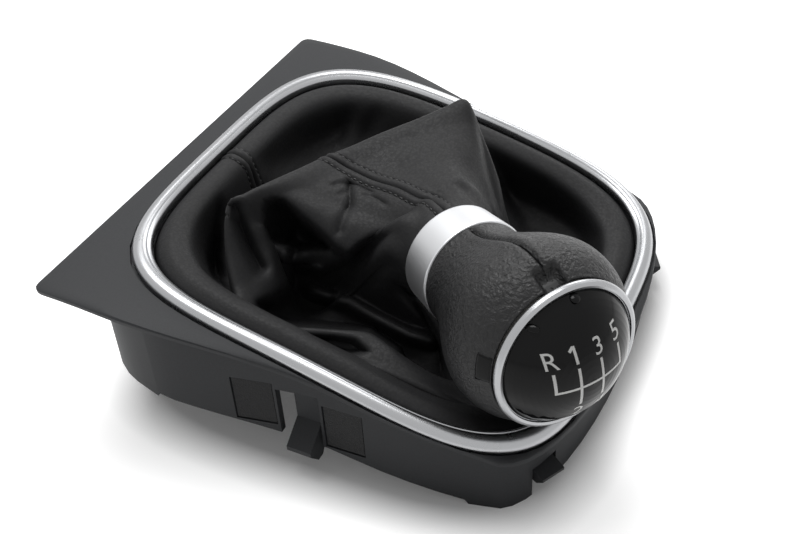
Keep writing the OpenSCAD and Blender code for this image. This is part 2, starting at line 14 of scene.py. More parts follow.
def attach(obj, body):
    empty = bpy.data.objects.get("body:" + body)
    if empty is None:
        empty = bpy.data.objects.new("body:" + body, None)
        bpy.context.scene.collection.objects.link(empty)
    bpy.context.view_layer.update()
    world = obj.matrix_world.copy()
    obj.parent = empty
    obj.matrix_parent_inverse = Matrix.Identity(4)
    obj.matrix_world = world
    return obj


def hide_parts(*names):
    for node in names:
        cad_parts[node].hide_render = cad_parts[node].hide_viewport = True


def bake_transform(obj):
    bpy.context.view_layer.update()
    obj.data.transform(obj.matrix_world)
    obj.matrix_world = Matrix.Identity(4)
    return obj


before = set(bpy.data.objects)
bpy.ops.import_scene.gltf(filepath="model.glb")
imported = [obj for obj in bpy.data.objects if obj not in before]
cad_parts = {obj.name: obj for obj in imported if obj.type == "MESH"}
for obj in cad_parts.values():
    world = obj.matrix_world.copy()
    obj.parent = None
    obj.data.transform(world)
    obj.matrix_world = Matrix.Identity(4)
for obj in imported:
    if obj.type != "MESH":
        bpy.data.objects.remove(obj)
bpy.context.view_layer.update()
MM = 0.001
DATUM = 5.0

def place_mm(points):
    """From millimetres above the clips' datum to metres above the table, 5 mm lower."""
    return (np.asarray(points, float) + np.array([0, 0, DATUM])) * MM

def put(name, data):
    thing = bpy.data.objects.new(name, data)
    bpy.context.scene.collection.objects.link(thing)
    return thing

# %% [markdown]
# The camera stands where the photographer stood: to the rear left of the surround, looking down 40 degrees.
# A camera can be aimed with a Track To constraint. Here its axes are written out as a matrix, because the
# photograph is also turned by a few degrees about the line of sight, which a constraint would undo.

# %% Camera
def camera_matrix(azimuth, elevation, roll, place):
    back = Vector((math.sin(azimuth) * math.cos(elevation), -math.cos(azimuth) * math.cos(elevation),
                   math.sin(elevation)))
    right = Vector((math.cos(azimuth), math.sin(azimuth), 0))
    up = back.cross(right)
    side = right * math.cos(roll) + up * math.sin(roll)
    top = up * math.cos(roll) - right * math.sin(roll)
    matrix = Matrix((side, top, back)).transposed().to_4x4()
    matrix.translation = place
    return matrix

eye_mm = np.array([-255.9, -132.2, 257.3])
picture_w, picture_h = 800, 534

lens = bpy.data.cameras.new("camera")
lens.lens = 51.57
lens.sensor_width = 36
camera = put("camera", lens)
camera.matrix_world = camera_matrix(azimuth=-1.0749, elevation=0.69084, roll=-0.0657, place=place_mm(eye_mm))
bpy.context.scene.camera = camera
bpy.context.scene.view_settings.view_transform = "Standard"
print("camera at", [round(c, 3) for c in camera.location])

# %% [markdown]
# Materials are small graphs of nodes. Two helpers keep them readable: one turns a hex colour, as a painter
# would pick it, into the linear values that Blender calculates with, and one adds a node with its settings
# and its links in a single line.

# %% Helpers for materials
def hex_colour(text):
    parts = [int(text[i:i + 2], 16) / 255 for i in (1, 3, 5)]
    return tuple(c / 12.92 if c <= 0.04045 else ((c + 0.055) / 1.055) ** 2.4 for c in parts) + (1.0,)

def add(material, kind, settings=None, inputs=None):
    node = material.node_tree.nodes.new(kind)
    for name, value in (settings or {}).items():
        setattr(node, name, value)
    for name, value in (inputs or {}).items():
        socket = node.inputs[name]
        if isinstance(value, bpy.types.NodeSocket):
            material.node_tree.links.new(value, socket)
        else:
            socket.default_value = value
    return node

def new_material(name):
    material = bpy.data.materials.new(name)
    material.use_nodes = True
    shader = material.node_tree.nodes["Principled BSDF"]
    place = add(material, "ShaderNodeTexCoord")
    return material, shader, place.outputs["Object"]

def wire(material, source, shader, name):
    material.node_tree.links.new(source, shader.inputs[name])

def per_metre(size_mm):
    return 1000.0 / size_mm

# %% [markdown]
# The surround is one ABS moulding. Its tool was spark eroded, which leaves a matte skin of tiny pits. Real
# pits are about 0.15 mm across, finer than a pixel here, so the noise that stands for them is drawn at
# 0.5 mm. A broad, weak second noise gives the slight cloudiness of a handled black plastic.

# %% Surround: spark-eroded ABS
abs_grain, shader, place = new_material("abs_spark_eroded")
pits = add(abs_grain, "ShaderNodeTexNoise", inputs={"Vector": place, "Scale": per_metre(0.5), "Detail": 3.0})
cloud = add(abs_grain, "ShaderNodeTexNoise", inputs={"Vector": place, "Scale": per_metre(30), "Detail": 2.0})
tone = add(abs_grain, "ShaderNodeMixRGB",
           inputs={"Fac": cloud.outputs["Fac"], "Color1": hex_colour("#353638"),
                   "Color2": hex_colour("#3b3c3e")})
speck = add(abs_grain, "ShaderNodeMixRGB", {"blend_type": "MULTIPLY"},
            {"Fac": 0.35, "Color1": tone.outputs["Color"], "Color2": pits.outputs["Fac"]})
relief = add(abs_grain, "ShaderNodeBump",
             inputs={"Strength": 0.35, "Distance": 0.06 * MM, "Height": pits.outputs["Fac"]})
rough = add(abs_grain, "ShaderNodeMapRange",
            inputs={"Value": cloud.outputs["Fac"], "To Min": 0.5, "To Max": 0.58})
wire(abs_grain, speck.outputs["Color"], shader, "Base Color")
wire(abs_grain, relief.outputs["Normal"], shader, "Normal")
wire(abs_grain, rough.outputs["Result"], shader, "Roughness")
shader.inputs["IOR"].default_value = 1.53
shader.inputs["Specular IOR Level"].default_value = 0.18
print("panel plastic ready")

# %% [markdown]
# The trim ring, the collar and the cap ring are satin chrome: plated plastic whose base was blasted before
# plating. It mirrors its surroundings, but softly. A faint noise in the roughness and a very low relief
# keep the reflections from looking like poured glass. The collar's plate is duller than the rings'. The rings
# get a darker copy of the same chrome: painted shade that stands for the darker reflections on them.

# %% Bright parts: satin chrome plate
def chrome_plate(name, colour, low, high):
    material, shader, place = new_material(name)
    haze = add(material, "ShaderNodeTexNoise", inputs={"Vector": place, "Scale": per_metre(9), "Detail": 4.0})
    blast = add(material, "ShaderNodeTexNoise",
                inputs={"Vector": place, "Scale": per_metre(0.6), "Detail": 2.0})
    rough = add(material, "ShaderNodeMapRange",
                inputs={"Value": haze.outputs["Fac"], "To Min": low, "To Max": high})
    relief = add(material, "ShaderNodeBump", inputs={"Strength": 0.04, "Distance": 0.01 * MM,
                                                     "Height": blast.outputs["Fac"]})
    shader.inputs["Base Color"].default_value = hex_colour(colour)
    shader.inputs["Metallic"].default_value = 1.0
    wire(material, rough.outputs["Result"], shader, "Roughness")
    wire(material, relief.outputs["Normal"], shader, "Normal")
    return material

satin_chrome = chrome_plate("satin_chrome_plate", "#cfd0d2", 0.38, 0.46)
# The rings' copy has a darker base colour: painted shade for the darker reflections on them.
ring_chrome_painted_shade = chrome_plate("satin_chrome_ring_painted_shade", "#a6a7a9", 0.24, 0.32)
print("plates:", satin_chrome.name, ring_chrome_painted_shade.name)

# %% [markdown]
# Hidden mouldings, felt, foam, the turned bush and the steel band are small, but they show from below, so
# each gets its own finish: nylon with fine flow noise, needle felt with sheen on its loose fibres, foam with
# open cells, aluminium with turning marks and rolled steel with a long grain.

# %% Frame and core: black nylon
nylon, shader, place = new_material("nylon_black")
flow = add(nylon, "ShaderNodeTexNoise", inputs={"Vector": place, "Scale": per_metre(2.5), "Detail": 4.0})
rough = add(nylon, "ShaderNodeMapRange",
            inputs={"Value": flow.outputs["Fac"], "To Min": 0.42, "To Max": 0.55})
relief = add(nylon, "ShaderNodeBump",
             inputs={"Strength": 0.2, "Distance": 0.05 * MM, "Height": flow.outputs["Fac"]})
shader.inputs["Base Color"].default_value = hex_colour("#232324")
shader.inputs["IOR"].default_value = 1.53
wire(nylon, rough.outputs["Result"], shader, "Roughness")
wire(nylon, relief.outputs["Normal"], shader, "Normal")

# %% Pads: needle felt
felt, shader, place = new_material("needle_felt")
fibres = add(felt, "ShaderNodeTexNoise", inputs={"Vector": place, "Scale": per_metre(0.7), "Detail": 6.0,
                                                "Distortion": 1.5})
tone = add(felt, "ShaderNodeMixRGB", inputs={"Fac": fibres.outputs["Fac"], "Color1": hex_colour("#0f0f10"),
                                             "Color2": hex_colour("#2b2b2c")})
relief = add(felt, "ShaderNodeBump",
             inputs={"Strength": 0.8, "Distance": 0.3 * MM, "Height": fibres.outputs["Fac"]})
wire(felt, tone.outputs["Color"], shader, "Base Color")
wire(felt, relief.outputs["Normal"], shader, "Normal")
shader.inputs["Roughness"].default_value = 0.95
shader.inputs["Sheen Weight"].default_value = 0.1

# %% Padding: closed-cell foam
foam, shader, place = new_material("foam_closed_cell")
cells = add(foam, "ShaderNodeTexVoronoi", inputs={"Vector": place, "Scale": per_metre(0.8)})
relief = add(foam, "ShaderNodeBump",
             inputs={"Strength": 0.6, "Distance": 0.2 * MM, "Height": cells.outputs["Distance"]})
shader.inputs["Base Color"].default_value = hex_colour("#7d7c76")
shader.inputs["Roughness"].default_value = 0.85
wire(foam, relief.outputs["Normal"], shader, "Normal")

# %% Bush: turned aluminium, and band: rolled stainless steel
def drawn_metal(name, colour, low, high, scale):
    material, shader, place = new_material(name)
    stretch = add(material, "ShaderNodeMapping", inputs={"Vector": place, "Scale": scale})
    grain = add(material, "ShaderNodeTexNoise",
                inputs={"Vector": stretch.outputs["Vector"], "Scale": per_metre(1.0), "Detail": 3.0})
    rough = add(material, "ShaderNodeMapRange",
                inputs={"Value": grain.outputs["Fac"], "To Min": low, "To Max": high})
    shader.inputs["Base Color"].default_value = hex_colour(colour)
    shader.inputs["Metallic"].default_value = 1.0
    wire(material, rough.outputs["Result"], shader, "Roughness")
    return material

turned_aluminium = drawn_metal("aluminium_turned", "#c4c5c7", 0.25, 0.4, (1.0, 1.0, 4.0))
rolled_steel = drawn_metal("stainless_rolled", "#bdbec0", 0.22, 0.36, (0.3, 0.3, 3.0))
print("hidden finishes ready")

# %% [markdown]
# The pattern cap is polished black acrylic. Nothing scatters in its surface, so it shows the room as a dark
# mirror, with only a trace of the fine swirls that wiping leaves.

# %% Cap: polished acrylic
acrylic, shader, place = new_material("acrylic_polished_black")
swirl = add(acrylic, "ShaderNodeTexNoise", inputs={"Vector": place, "Scale": per_metre(4), "Detail": 5.0})
rough = add(acrylic, "ShaderNodeMapRange",
            inputs={"Value": swirl.outputs["Fac"], "To Min": 0.05, "To Max": 0.1})
shader.inputs["Base Color"].default_value = hex_colour("#0d0d0e")
shader.inputs["IOR"].default_value = 1.49
shader.inputs["Specular IOR Level"].default_value = 0.14
wire(acrylic, rough.outputs["Result"], shader, "Roughness")

# %% Give the hard parts their finishes
# Panel, ring and foam are shown by smoother pieces further down, which take the same finishes.
finish_of = {
    "surround_panel": abs_grain, "trim_ring": ring_chrome_painted_shade, "collar": satin_chrome, "cap_ring": ring_chrome_painted_shade,
    "gaiter_frame": nylon, "neck_ring": nylon, "knob_core": nylon, "cap_carrier": nylon,
    "felt_pad_left_front": felt, "felt_pad_left_rear": felt, "felt_pad_right_front": felt,
    "felt_pad_right_rear": felt, "knob_padding": foam, "lever_bush": turned_aluminium,
    "lever_clamp": rolled_steel, "pattern_cap": acrylic,
}
for name, material in finish_of.items():
    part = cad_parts[name]
    for slot in part.material_slots:
        slot.material = material
print("dressed", len(finish_of), "hard parts")

# %% [markdown]
# The gaiter is two pieces of thin leather, sewn together at the front and at the back. Its lower edge is
# clamped under the ring, its upper edge inside the collar, and all the spare leather between them falls in
# folds. It could be draped by a cloth simulation, but then every run would fold a little differently from
# the photograph. So each bearing round the ring gets a handful of guide points, from the clamp over the
# soft roll, down into the trough, up to the tent's ridge and back to the neck, and a smooth line is drawn
# through them. Where neighbouring lines differ, the leather folds.

# %% The face that the ring lies on, and the knob's own axes
def face(y):
    run = 157.0
    t = (y + 72) / run
    return (12.6 * (1 - 3 * t ** 2 + 2 * t ** 3) + 0.299 * run * t * (1 - t) ** 2
            + 46.0 * (3 * t ** 2 - 2 * t ** 3))

def oval(a, inside):
    rad = np.radians(a)
    bx = 68 - inside
    by = np.where(np.sin(rad) > 0, 73.2, 66.3) - inside
    r = ((abs(np.cos(rad)) / bx) ** 4 + (abs(np.sin(rad)) / by) ** 4) ** -0.25
    return np.stack([r * np.cos(rad), r * np.sin(rad)], -1)

lean_rear, lean_left, pivot_z = math.radians(83.65), math.radians(34.6), 38.0
turn_rear = Matrix.Rotation(lean_rear, 3, "X")
turn_left = Matrix.Rotation(-lean_left, 3, "Y")
knob_axes = np.array(turn_rear @ turn_left)

def lean(points):
    return np.asarray(points) @ knob_axes.T + np.array([0, 0, pivot_z])

def around_neck(a, r, z):
    rad = np.radians(a)
    return lean(np.stack([r * np.cos(rad), r * np.sin(rad), np.broadcast_to(z, rad.shape)], -1))

print("knob axis", knob_axes[:, 2].round(3))

# %% The folds, line by line: bearing at the ring, bearing at the neck, then six points from trough to neck
folds = [
    (90, 90, (0, 47, 21), (0, 31, 53.5), (-1, 22, 52.6),
     (-3, 12, 52), (-5, 2, 53), (-8, -6, 53.6)),
    (101, 99, (-11, 48, 20), (-9, 34.2, 54.2), (-8.5, 25, 52.6),
     (-9, 14, 50.8), (-10, 4, 51), (-12, -5, 51.5)),
    (112, 110, (-22, 49, 20), (-18, 37.6, 55), (-15, 28, 52.5),
     (-15, 17, 49), (-15.5, 7, 48), (-15.5, -2, 48.5)),
    (121, 126, (-29, 48, 21), (-27, 40.6, 55.8), (-21.5, 33.5, 53.2),
     (-22.5, 25, 49.5), (-24, 17, 45.5), (-24.5, 9, 42)),
    (126, 142, (-35, 46.5, 24), (-31.5, 42.2, 56.2), (-27.5, 37, 50),
     (-28, 33, 33), (-25.5, 24, 33), (-27, 12, 33)),
    (131, 152, (-38, 44, 24), (-35.5, 43.5, 56.6), (-30, 38.5, 50.5),
     (-28.5, 35.5, 42), (-24, 29.5, 34), (-27, 17, 25)),
    (137, 160, (-41, 42.8, 23), (-38.5, 43.5, 50.5), (-34, 39.5, 48),
     (-29.8, 35.6, 45), (-28, 33, 24), (-27, 18, 19)),
    (144, 168, (-45.5, 40, 23), (-43.5, 41, 43.5), (-38, 37, 41.5),
     (-31.5, 33.5, 39.5), (-28.5, 30.5, 22), (-28, 17, 18)),
    (150, 175, (-51.5, 35, 25), (-50, 35.5, 37), (-44, 33, 36),
     (-37, 30, 34), (-33, 25.5, 19), (-29.5, 16, 18)),
    (156, 180, (-57, 29.5, 29), (-55, 29.5, 34.3), (-51, 27.5, 32),
     (-45, 24, 23), (-37, 18, 18), (-29.5, 13, 23.5)),
    (162, 185, (-58, 19.5, 31), (-53, 18, 24), (-48, 16, 18),
     (-42, 13.5, 16), (-36, 11, 17), (-30, 8.5, 23.5)),
    (168, 190, (-59, 13.5, 32.6), (-55.5, 12.5, 33.6), (-50, 10.5, 20),
     (-43, 8, 15), (-36, 5.5, 16.5), (-30.5, 3.5, 23)),
    (178, 197, (-57, 3.5, 31), (-51, 3, 32.6), (-48, 2.5, 20),
     (-42, 1, 14.5), (-36, -1, 16), (-31, -3, 22.5)),
    (189, 205, (-54.5, -8, 29.5), (-46.5, -7, 31.2), (-44, -6.5, 20),
     (-40, -7, 15), (-36, -8, 16), (-31.5, -9, 22)),
    (200, 214, (-53.5, -18, 28), (-48, -16, 29), (-45, -15, 20),
     (-41, -15, 15), (-36.5, -15.5, 15.5), (-32, -16, 21)),
    (212, 224, (-52, -30, 24), (-47, -27, 23), (-43, -25, 17),
     (-39, -24, 14.5), (-35, -23.5, 15.5), (-30, -22, 19)),
    (228, 238, (-44, -46, 12), (-39, -41, 13.5), (-34, -36, 12),
     (-29, -31, 12.5), (-25, -28, 14), (-21, -26, 18)),
    (250, 255, (-22, -55, 10), (-20, -49, 12), (-18, -42, 10.5),
     (-15, -36, 10.5), (-13, -31, 13), (-11.5, -27, 17)),
    (270, 270, (0, -56, 10), (0, -50, 13), (-1, -43, 11.5),
     (-3, -37, 12), (-5, -31, 15), (-7, -27, 18)),
    (290, 285, (20, -53, 10), (18, -47, 14), (14, -41, 12),
     (10, -36, 13), (5, -32, 17), (0, -29, 20)),
    (308, 300, (27, -33, 11), (19, -28, 20), (15, -29, 18),
     (10, -29.5, 18), (6, -29, 20), (3, -28.5, 24)),
    (322, 318, (31, -26, 11), (22, -22, 28), (18, -24, 25),
     (13, -26, 24), (9, -27, 26), (6, -26.5, 30)),
    (337, 335, (35, -17, 12), (27, -17, 40), (23, -19, 38),
     (18, -21.5, 33), (13, -23.5, 32), (8.5, -24.5, 35)),
    (352, 350, (39, -6, 13), (33, -8.5, 52), (29, -11, 49.5),
     (22.5, -15.5, 43), (16, -20, 40), (11, -22.5, 40)),
    (364, 366, (43, 3, 14), (36.5, -2, 60.8), (29.5, -7.5, 56.5),
     (22.5, -12.5, 51.5), (16, -17, 47), (11, -19.5, 44)),
    (382, 384, (42, 16, 15), (32.5, 3, 59.6), (26.5, -3.5, 57.5),
     (19.5, -9, 55), (13, -13.5, 52), (8, -17, 50)),
    (402, 405, (37, 32, 17), (25.5, 9.5, 57.8), (20.5, 3.5, 57),
     (14.5, -3, 56), (8.5, -9, 55), (4, -14, 54.5)),
    (422, 425, (26, 45, 19), (15.5, 18.5, 56), (12, 11, 55.5),
     (8, 3, 55), (3, -5, 55), (-1, -11, 55.4)),
    (437, 439, (13, 47, 20), (7, 25, 54.6), (5, 17, 53.7),
     (3, 8, 53.3), (0, -1.5, 54), (-4, -8.5, 54.6)),
    (450, 450, (0, 47, 21), (0, 31, 53.5), (-1, 22, 52.6),
     (-3, 12, 52), (-5, 2, 53), (-8, -6, 53.6)),
]

print(len(folds), "fold lines")

def track(points, a):
    x = np.array([p[0] for p in points], float)
    y = np.array([p[1] for p in points], float)
    n = len(x)
    k = np.searchsorted(x, a, side="right") - 1
    before, after, past = (k - 1) % n, (k + 1) % n, (k + 2) % n
    x0, x1 = x[before] - 360 * (k == 0), x[k]
    x2 = x[after] + 360 * (k + 1 >= n)
    x3 = x[past] + 360 * (k + 2 >= n)
    m1 = (y[after] - y[before]) / (x2 - x0)
    m2 = (y[past] - y[k]) / (x3 - x1)
    w = x2 - x1
    t = (a - x1) / w
    return (y[k] * (1 - 3 * t ** 2 + 2 * t ** 3) + m1 * w * t * (1 - t) ** 2
            + y[after] * (3 * t ** 2 - 2 * t ** 3) - m2 * w * t ** 2 * (1 - t))

# %% Guide points of every line, and the smooth surface through them
leather_mm = 1.4
clamp_in = 2.5 + 0.3 + leather_mm / 2
collar_from, neck_r = 23.8, 16.6 - 1 - 0.3 - leather_mm / 2
roll_up = [(0, 1), (90, 1.2), (180, 1), (206, .2), (235, -3), (270, -1.5), (300, .4)]

def through(values, at, slack):
    """Smooth curve through rows of values, read at fractional row numbers."""
    k = np.clip(np.floor(at).astype(int), 0, len(values) - 2)
    t = (at - k).reshape((-1,) + (1,) * (values.ndim - 1))
    p1, p2 = values[k], values[k + 1]
    m1 = (p2 - values[np.maximum(k - 1, 0)]) * slack
    m2 = (values[np.minimum(k + 2, len(values) - 1)] - p1) * slack
    if values.ndim > 1:
        w = np.linalg.norm(p2 - p1, axis=-1, keepdims=True)
        m1 = m1 * np.minimum(1, w / np.maximum(1e-6, np.linalg.norm(m1, axis=-1, keepdims=True)))
        m2 = m2 * np.minimum(1, w / np.maximum(1e-6, np.linalg.norm(m2, axis=-1, keepdims=True)))
    return (p1 * (1 - 3 * t ** 2 + 2 * t ** 3) + m1 * t * (1 - t) ** 2
            + p2 * (3 * t ** 2 - 2 * t ** 3) - m2 * t ** 2 * (1 - t))

def guides(line_numbers):
    ring = through(np.array([f[0] for f in folds], float), line_numbers, 0.5)
    neck = through(np.array([f[1] for f in folds], float), line_numbers, 0.5)
    inner = through(np.array([f[2:] for f in folds], float), line_numbers, 0.42)
    def on_face(inside, up):
        q = oval(ring, inside)
        return np.column_stack([q, face(q[:, 1]) + up])
    lift = 0.9 * track(roll_up, ring % 360)
    flute = 0.5 * np.cos(np.radians(11 * neck)) - 4.0 * np.exp(-((neck % 360 - 95) / 40) ** 2)
    outside = np.stack([on_face(clamp_in, -6.4), on_face(clamp_in, -4.2), on_face(clamp_in, -2.6),
                        on_face(clamp_in + 0.9, -0.7 + 0.6 * np.minimum(0, lift)), on_face(7.6, lift),
                        on_face(12.0, lift - 2)], 1)
    drop = outside[:, -1:] * 0.72 + inner[:, :1] * 0.28
    drop[..., 2] = outside[:, -1:, 2] * 0.3 + inner[:, :1, 2] * 0.7
    neck_part = np.stack([around_neck(neck, 18.6 + flute, collar_from - 9),
                          around_neck(neck, neck_r + 0.6, collar_from - 2.6),
                          around_neck(neck, neck_r, collar_from + 0.6),
                          around_neck(neck, neck_r, collar_from + 7.5)], 1)
    return np.concatenate([outside, drop, inner, neck_part], 1)

steps = [2, 2, 3, 6, 6, 5, 7, 16, 12, 12, 12, 12, 12, 8, 4, 4]

def along(g, slack=0.4):
    spots = np.concatenate([k + np.arange(n) / n for k, n in enumerate(steps)] + [[len(steps)]])
    return np.stack([through(line, spots, slack) for line in g])

def soften(p, rounds):
    for _ in range(rounds):
        q = p.copy()
        q[1:-1, 16:-9] = (p[1:-1, 16:-9] * 2 + p[:-2, 16:-9] + p[2:, 16:-9]
                          + p[1:-1, 15:-10] + p[1:-1, 17:-8]) / 6
        p = q
    return p

# %% [markdown]
# The CAD model's curved faces come as flat facets. The panel's mesh is taken over and shaded smooth, except
# across its real edges. The ring is swept again round the same opening with four times the steps, so that
# reflections run along it in clean lines: a broad band, a fine groove and a narrow inner bevel.

# %% Panel and ring: shade the curves smooth
def smooth_by_angle(mesh, limit):
    work = bmesh.new()
    work.from_mesh(mesh)
    bmesh.ops.remove_doubles(work, verts=work.verts, dist=1e-6)
    bmesh.ops.recalc_face_normals(work, faces=work.faces)
    for f in work.faces:
        f.smooth = True
    for e in work.edges:
        e.smooth = e.calc_face_angle(0) < math.radians(limit)
    work.to_mesh(mesh)
    work.free()

def dressed_piece(name, mesh, material, node):
    mesh.materials.append(material)
    piece = put(name, mesh)
    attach(piece, "surround")
    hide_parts(node)

cad_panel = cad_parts["surround_panel"]
panel_mesh = bpy.data.meshes.new("panel_moulding")
panel_mesh.from_pydata([cad_panel.matrix_world @ v.co for v in cad_panel.data.vertices], [],
                       [tuple(f.vertices) for f in cad_panel.data.polygons])
smooth_by_angle(panel_mesh, 28)
dressed_piece("panel_moulding", panel_mesh, abs_grain, "surround_panel")

ring_section = [(1, -1), (1.02, 0.3), (0.97, 0.45), (0.87, 0.6), (0.6, 0.78), (0.52, 0.72), (0.44, 0.84),
                (0.3, 0.93), (0.1, 1), (-0.15, 1), (-0.4, 0.94), (-0.62, 0.82), (-0.78, 0.66), (-0.9, 0.47),
                (-0.98, 0.25), (-0.98, -1)]
bearings = np.arange(0, 360, 1.0)
ring_rows = []
for inwards, height in ring_section:
    q = oval(bearings, inwards * 2.6)
    ring_rows.append(np.column_stack([q, face(q[:, 1]) + (-0.9 if height < 0 else 2.7 * height)]))
ring_rows = np.stack(ring_rows, 1)
n, m = ring_rows.shape[:2]
i, j = np.meshgrid(np.arange(n), np.arange(m), indexing="ij")
quads = np.stack([i * m + j, i * m + (j + 1) % m, (i + 1) % n * m + (j + 1) % m, (i + 1) % n * m + j], -1)
ring_mesh = bpy.data.meshes.new("ring_bright")
ring_mesh.from_pydata(place_mm(ring_rows.reshape(-1, 3)).tolist(), [], quads.reshape(-1, 4).tolist())
smooth_by_angle(ring_mesh, 40)
dressed_piece("ring_bright", ring_mesh, ring_chrome_painted_shade, "trim_ring")
print("panel", len(panel_mesh.polygons), "faces, ring", len(ring_mesh.polygons), "faces")

# %% [markdown]
# A gaiter seam is sewn inside out, opened flat and stitched down on both sides: it shows a fine groove
# between two low shoulders, with a row of thread 2.7 mm out on each side. The groove and the shoulders are
# pressed into the mesh along the seam, and so are small wrinkles, each a short line with a depth and width.

# %% Press the seam and wrinkles into a half
def surface_normals(p):
    du = np.gradient(p, axis=0)
    dv = np.gradient(p, axis=1)
    n = np.cross(du, dv)
    return n / np.maximum(1e-9, np.linalg.norm(n, axis=2)[:, :, None])

def from_seam(p):
    step = np.linalg.norm(np.diff(p, axis=0), axis=2)
    reach = np.concatenate([np.zeros((1, p.shape[1])), np.cumsum(step, axis=0)])
    return np.minimum(reach, reach[-1] - reach)

thread_row, stitch_pitch = 2.7, 2.3

def seam_relief(u):
    groove = -0.8 * np.exp(-(u / 0.55) ** 2)
    shoulder = 0.35 * np.exp(-((u - 1.5) / 0.9) ** 2)
    row = -0.5 * np.exp(-((u - thread_row) / 0.5) ** 2)
    return groove + shoulder + row

def strip_mesh(name, p, material):
    n, m = p.shape[:2]
    i, j = np.meshgrid(np.arange(n - 1), np.arange(m - 1), indexing="ij")
    quads = np.stack([i * m + j, (i + 1) * m + j, (i + 1) * m + j + 1, i * m + j + 1], -1).reshape(-1, 4)
    mesh = bpy.data.meshes.new(name)
    mesh.from_pydata(place_mm(p.reshape(-1, 3)).tolist(), [], quads.tolist())
    mesh.materials.append(material)
    mesh.polygons.foreach_set("use_smooth", [True] * len(mesh.polygons))
    piece = put(name, mesh)
    return piece

print("seam: thread rows", thread_row, "mm out, pitch", stitch_pitch, "mm")

# %% [markdown]
# Deep pockets and small creases are easier to draw where they are seen than to type as points in space. Each
# hollow is an outline in the picture, 800 by 534 units wide, inside which the leather is pushed back along
# the line of sight by some millimetres. Each crease is a line drawn the same way. The leather between roll
# and ridge is the trough, and the leather from the ridge to the neck is the tent.

# %% Hollows and creases drawn in the picture
def in_picture(p):
    axes = np.array(camera.matrix_world.to_3x3())
    q = (p - eye_mm) @ axes
    scale = picture_w * lens.lens / lens.sensor_width / -q[..., 2]
    sight = (p - eye_mm) / np.linalg.norm(p - eye_mm, axis=-1, keepdims=True)
    return np.stack([picture_w / 2 + q[..., 0] * scale, picture_h / 2 - q[..., 1] * scale], -1), sight

def to_line(seen, points, closed=False):
    """Distance of every seen point from a line, negative inside a closed one."""
    ends = list(zip(points, points[1:] + points[:1] if closed else points[1:]))
    x, y = seen[..., 0], seen[..., 1]
    nearest, inside = np.full(x.shape, 1e9), np.zeros(x.shape, bool)
    for (x0, y0), (x1, y1) in ends:
        t = np.clip(((x - x0) * (x1 - x0) + (y - y0) * (y1 - y0)) / ((x1 - x0) ** 2 + (y1 - y0) ** 2), 0, 1)
        nearest = np.minimum(nearest, np.hypot(x - x0 - t * (x1 - x0), y - y0 - t * (y1 - y0)))
        if closed and y0 != y1:
            inside ^= ((y0 > y) != (y1 > y)) & (x < (x1 - x0) * (y - y0) / (y1 - y0) + x0)
    return np.where(inside, -nearest, nearest)

hollows = [
    # the black pocket beside the drape, and the saddle below it
    ("tent", 27, 2.2, [(264, 212), (267, 203), (275, 199), (284, 201), (300, 217), (318, 233), (334, 248),
                       (318, 248), (300, 250), (290, 246), (284, 244), (270, 241), (265, 228)]),
    ("tent", 5, 2.5, [(290, 242), (318, 247), (338, 249), (350, 256), (338, 268), (304, 266), (288, 262)]),
    # the void between drape, pleat and flap
    ("tent", 14, 4, [(290, 264), (304, 266), (322, 270), (344, 260), (360, 244), (374, 236), (398, 238),
                     (404, 262), (416, 296), (432, 322), (444, 350), (450, 385), (428, 388), (407, 372),
                     (397, 350), (370, 331), (320, 326), (284, 325), (262, 318), (257, 305), (274, 301),
                     (288, 288)]),
    # behind the low flap, left of the drape, under the front roll and under the right one
    ("all", 6, 3, [(300, 335), (332, 336), (354, 340), (368, 352), (352, 356), (330, 350), (314, 345)]),
    ("trough", 16, 6, [(198, 218), (204, 198), (214, 190), (221, 200), (220, 258), (226, 292), (208, 280),
                       (198, 255)]),
    ("trough", 11, 10, [(252, 160), (264, 145), (292, 127), (332, 116), (352, 122), (336, 145), (300, 160),
                        (270, 172)]),
    ("trough", 15, 7, [(490, 152), (516, 166), (546, 182), (576, 206), (600, 236), (604, 262), (520, 240),
                       (505, 205)]),
]
creases = [
    ("tent", -9, 5, [(312, 291), (350, 303), (380, 320), (410, 335), (432, 341)]),
    ("tent", -4, 4, [(380, 287), (400, 297), (422, 318)]),
    ("tent", 5, 7, [(234, 208), (242, 230), (252, 253), (260, 268)]),
    ("tent", 2.6, 3.2, [(350, 183), (350, 206), (345, 215), (341, 225), (340, 232)]),
    ("tent", 1.2, 2.5, [(333, 187), (342, 184), (350, 188)]),
    ("tent", 1.0, 2.2, [(339, 196), (349, 190)]),
    ("tent", 1.2, 2.5, [(350, 184), (360, 187), (372, 193)]),
    ("tent", 1.0, 2.2, [(364, 196), (376, 199), (386, 205)]),
    ("tent", 0.45, 3.5, [(398, 166), (418, 160), (430, 152)]),
    ("tent", 0.4, 3.5, [(404, 138), (428, 140)]),
    ("trough", 7, 7, [(362, 94), (350, 110), (338, 126)]),
    ("trough", 7, 5, [(388, 100), (377, 116), (364, 136)]),
]

print(len(hollows), "hollows and", len(creases), "creases")

def press(p):
    seen, sight = in_picture(p)
    column = np.arange(p.shape[1])
    tent = np.clip((column - 43) / 4, 0, 1) * np.clip((106 - column) / 9, 0, 1)
    trough = np.clip((column - 19) / 5, 0, 1) * np.clip((44 - column) / 5, 0, 1)
    share = {"tent": tent, "trough": trough, "all": np.clip((column - 16) / 5, 0, 1) * (column < 100)}
    push = np.zeros(p.shape[:2])
    for zone, depth, soft, outline in hollows:
        t = np.clip(0.5 - to_line(seen, outline, True) / (2 * soft), 0, 1)
        push = np.maximum(push, depth * t * t * (3 - 2 * t) * share[zone])
    room = np.maximum(0, (40.5 - p[..., 1]) / sight[..., 1])
    push = np.where(column > 43, np.minimum(push, room), push)
    for zone, depth, width, points in creases:
        push += depth * np.exp(-(to_line(seen, points) / width) ** 2) * share[zone]
    return p + sight * push[..., None]

